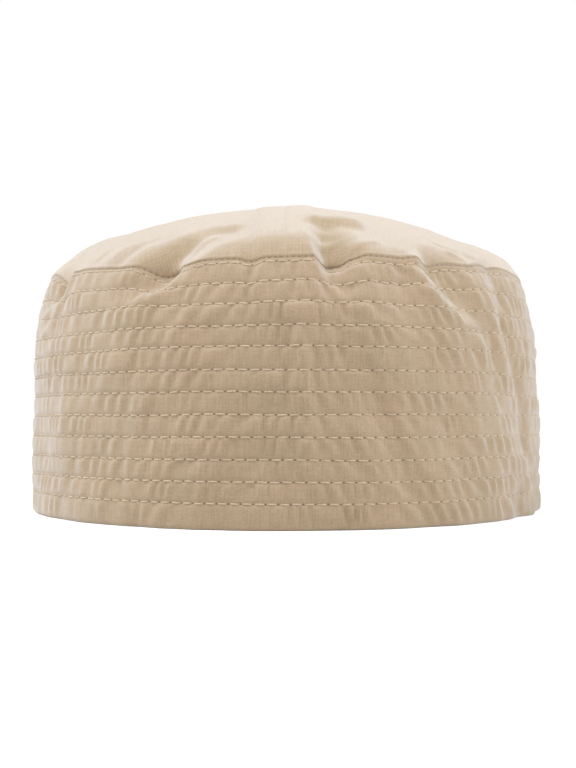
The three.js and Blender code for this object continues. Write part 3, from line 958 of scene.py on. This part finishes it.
# A point of the crown inset under its outer face, length mm up from the seam: a dome of cosine reach
# and sine rise, sunk by the waves, folds, creases and small relief, less the allowances and the welt.
def crownPoint(azimuth, length, inset, relief=1.0):
    azimuth, length, inset, relief = np.broadcast_arrays(azimuth, length, inset, relief)
    above = np.interp(length, lengthTable, shareTable)
    sweep = above * np.pi / 2
    reach = edgeReach * np.cos(sweep)
    rise = form["crownRise"] * np.sin(sweep) ** (2 * form["crownFullness"])
    tilt = 90 - (90 - form["shoulderTilt"]) * (1 - above) ** form["crownTiltPower"]
    across = form["halfWidth"] * reach * np.sin(np.radians(azimuth))
    lift = smooth(above / form["dropAbove"]) * allowance(across)
    overSeam = np.maximum(above, 1e-9)
    large = ((1 - above) * wave(azimuth) + foldDepth(azimuth, 0 * above, overSeam)
             + creaseDepth(azimuth, form["bandHeight"] + length, arcScale(reach)) - lift)
    near = np.clip(1 - length / crown["roll"], 0, 1)
    roll = crown["roll"] * (1 - np.sqrt(1 - near ** 2))
    welt = smooth(length / crown["weltStart"]) * smooth((crown["weltEnd"] - length) / crown["weltEase"])
    small = crownRelief(azimuth, length, across) + roll - crown["welt"] * welt
    lower = seamLower(azimuth, form["bandHeight"]) * smooth(1 - length / form["seamFade"])
    height = form["bandHeight"] + form["seamGap"] + rise - seamDrop(azimuth, 0 * above, overSeam) - lower
    return place(azimuth, reach, height, tilt, inset + large + relief * small)


# One half of the crown: rings up the outer face to the top and down the inner face again, closed
# along the seam and along the middle. side is 1 on +X.
def crownHalf(name, side, node):
    edge = np.array(crown["edgeColumns"])
    start = crown["firstColumn"]
    spread = np.linspace(start, 180 - start, crown["columns"])
    azimuths = side * np.concatenate([[0], edge, spread, 180 - edge[::-1], [180]])
    upper = np.arange(crown["firstRing"], crownLength - crown["topGap"], crown["ringStep"])
    lengths = np.concatenate([crown["edgeRings"], upper])
    columns, rings = len(azimuths), len(lengths)
    outer = crownPoint(azimuths[:, None], lengths[None], 0, 1.0)
    inner = crownPoint(azimuths[:, None], lengths[None], crown["wall"], 0.0)
    tops = [crownPoint(np.zeros(1), np.full(1, crownLength), inset, 0.0) for inset in (0, crown["wall"])]
    points = np.concatenate([outer.reshape(-1, 3), inner.reshape(-1, 3), *tops])
    size = columns * rings
    outerTop, innerTop = 2 * size, 2 * size + 1
    column, ring = gridCells(columns - 1, rings - 1)
    outerQuads = column * rings + ring
    innerQuads = size + outerQuads[:, ::-1]
    foot = np.arange(columns - 1) * rings
    seamQuads = np.stack([size + foot, size + foot + rings, foot + rings, foot], 1)
    up = np.arange(rings - 1)
    end = (columns - 1) * rings
    frontQuads = np.stack([up, up + 1, size + up + 1, size + up], 1)
    backQuads = np.stack([size + end + up, size + end + up + 1, end + up + 1, end + up], 1)
    last = rings - 1
    frontTop = np.array([[last, outerTop, innerTop, size + last]])
    backTop = np.array([[size + end + last, innerTop, outerTop, end + last]])
    quads = np.concatenate([outerQuads, innerQuads, seamQuads, frontQuads, backQuads, frontTop, backTop])
    head = foot + last
    outerFan = np.stack([head, head + rings, np.full(columns - 1, outerTop)], 1)
    innerFan = np.stack([np.full(columns - 1, innerTop), size + head + rings, size + head], 1)
    triangles = np.concatenate([outerFan, innerFan])
    if side < 0:
        quads, triangles = quads[:, ::-1], triangles[:, ::-1]
    flat = np.stack(flatCrown(azimuths[:, None], lengths[None]), -1).reshape(-1, 2)
    flatMap = np.concatenate([flat, flat, np.zeros((2, 2))]) * 0.001
    clothMesh(name, points, [quads, triangles], {"cloth": [flatMap[quads], flatMap[triangles]]},
              crownCotton, node)


crownHalf("crownLeftCloth", 1, "crown_left")
crownHalf("crownRightCloth", -1, "crown_right")

# Short stitches along the ditch between the crown and the band.
along = np.array(seam["stepsAlong"])
slip = random.uniform(-seam["slip"], seam["slip"], seam["stitches"])
centre = np.arange(seam["stitches"]) - rowPhase[-1] + slip
azimuth = ((centre[:, None] + seam["length"] / 2 * along) / seam["stitches"] - 0.5) * 360
wander = random.uniform(-seam["wander"], seam["wander"], (seam["stitches"], 1))
height = seam["level"] + wander + 0 * azimuth
out, up = faceAxes(azimuth, bandTilt(height))
lifted = seam["lift"] - seam["dive"] * np.abs(along) ** seam["divePower"]
middle = bandPoint(azimuth, height, seam["inset"]) + out * lifted[None, :, None]
thickness = np.full(len(along), seam["radius"])
threads("seamStitches", middle, out, up, thickness, seam["sides"])
print("kufi: cloth and thread made")


# Floor, light and camera.
studio = {
    "floorSize": 0.85,
    "floorColour": (0.65, 0.65, 0.65, 1),
    "floorGlow": 0.65,
    "worldLight": 0.66,
    "lights": [  # name, place, size, watts
        ("leftSide", (-1.0, -0.25, 0.35), 0.3, 1.4),
        ("rightSide", (1.0, -0.3, 0.3), 0.3, 4.4),
        ("top", (-0.35, -0.2, 0.92), 0.3, 5.4),
        ("leftBack", (-0.85, 0.5, 0.3), 0.5, 0.4),
        ("rightBack", (0.85, 0.5, 0.3), 0.5, 1.0),
    ],
}

floorMesh = bpy.data.meshes.new("floor")
half = studio["floorSize"]
corners = [(-half, -half, 0), (half, -half, 0), (half, half, 0), (-half, half, 0)]
floorMesh.from_pydata(corners, [], [(0, 1, 2, 3)])
floor = bpy.data.objects.new("floor", floorMesh)
scene.collection.objects.link(floor)
floorWhite, floorTree, floorShader = newMaterial("floorWhite")
for socket, value in (("Base Color", studio["floorColour"]), ("Roughness", 1.0),
                      ("Emission Color", (1, 1, 1, 1)), ("Specular IOR Level", 0.0)):
    floorShader.inputs[socket].default_value = value
# The floor looks white, but throws little light back up on the cap.
seen = newNode(floorTree, "ShaderNodeLightPath").outputs["Is Camera Ray"]
glow = math2(floorTree, "MULTIPLY", seen, studio["floorGlow"])
floorTree.links.new(glow, floorShader.inputs["Emission Strength"])
floorMesh.materials.append(floorWhite)
floor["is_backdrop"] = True

for name, spot, size, watts in studio["lights"]:
    lamp = bpy.data.lights.new(name, "AREA")
    lamp.size = size
    lamp.energy = watts
    holder = bpy.data.objects.new(name, lamp)
    holder.location = spot
    holder.rotation_euler = (Vector((0, 0, 0.05)) - Vector(spot)).to_track_quat("-Z", "Y").to_euler()
    scene.collection.objects.link(holder)

world = bpy.data.worlds.new("studio")
world.use_nodes = True
worldTree = world.node_tree
background = worldTree.nodes["Background"]
background.inputs["Color"].default_value = (1, 1, 1, 1)
# The camera sees the world white, and the cap gets a share of its light.
seen = newNode(worldTree, "ShaderNodeLightPath").outputs["Is Camera Ray"]
strength = newNode(worldTree, "ShaderNodeMapRange", {0: seen, 3: studio["worldLight"], 4: 1.0})
worldTree.links.new(strength.outputs[0], background.inputs["Strength"])
scene.world = world
scene.view_settings.view_transform = "Standard"

# The camera stands level, 31 mm above the brim, and its frame is raised by its shift.
view = {"place": (0.0, -0.378, 0.0312), "lens": 47.1, "shiftX": 2 / 768, "shiftY": 37 / 768}
camera = bpy.data.objects.new("camera", bpy.data.cameras.new("camera"))
camera.location = view["place"]
camera.rotation_euler = (math.pi / 2, 0, 0)
camera.data.lens = view["lens"]
camera.data.sensor_width = 36
camera.data.shift_x = view["shiftX"]
camera.data.shift_y = view["shiftY"]
camera.data.clip_start = 0.01
scene.collection.objects.link(camera)
scene.camera = camera
print("kufi: studio set")

[list(corner) for corner in cadBox]
[list(corner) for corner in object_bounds()]
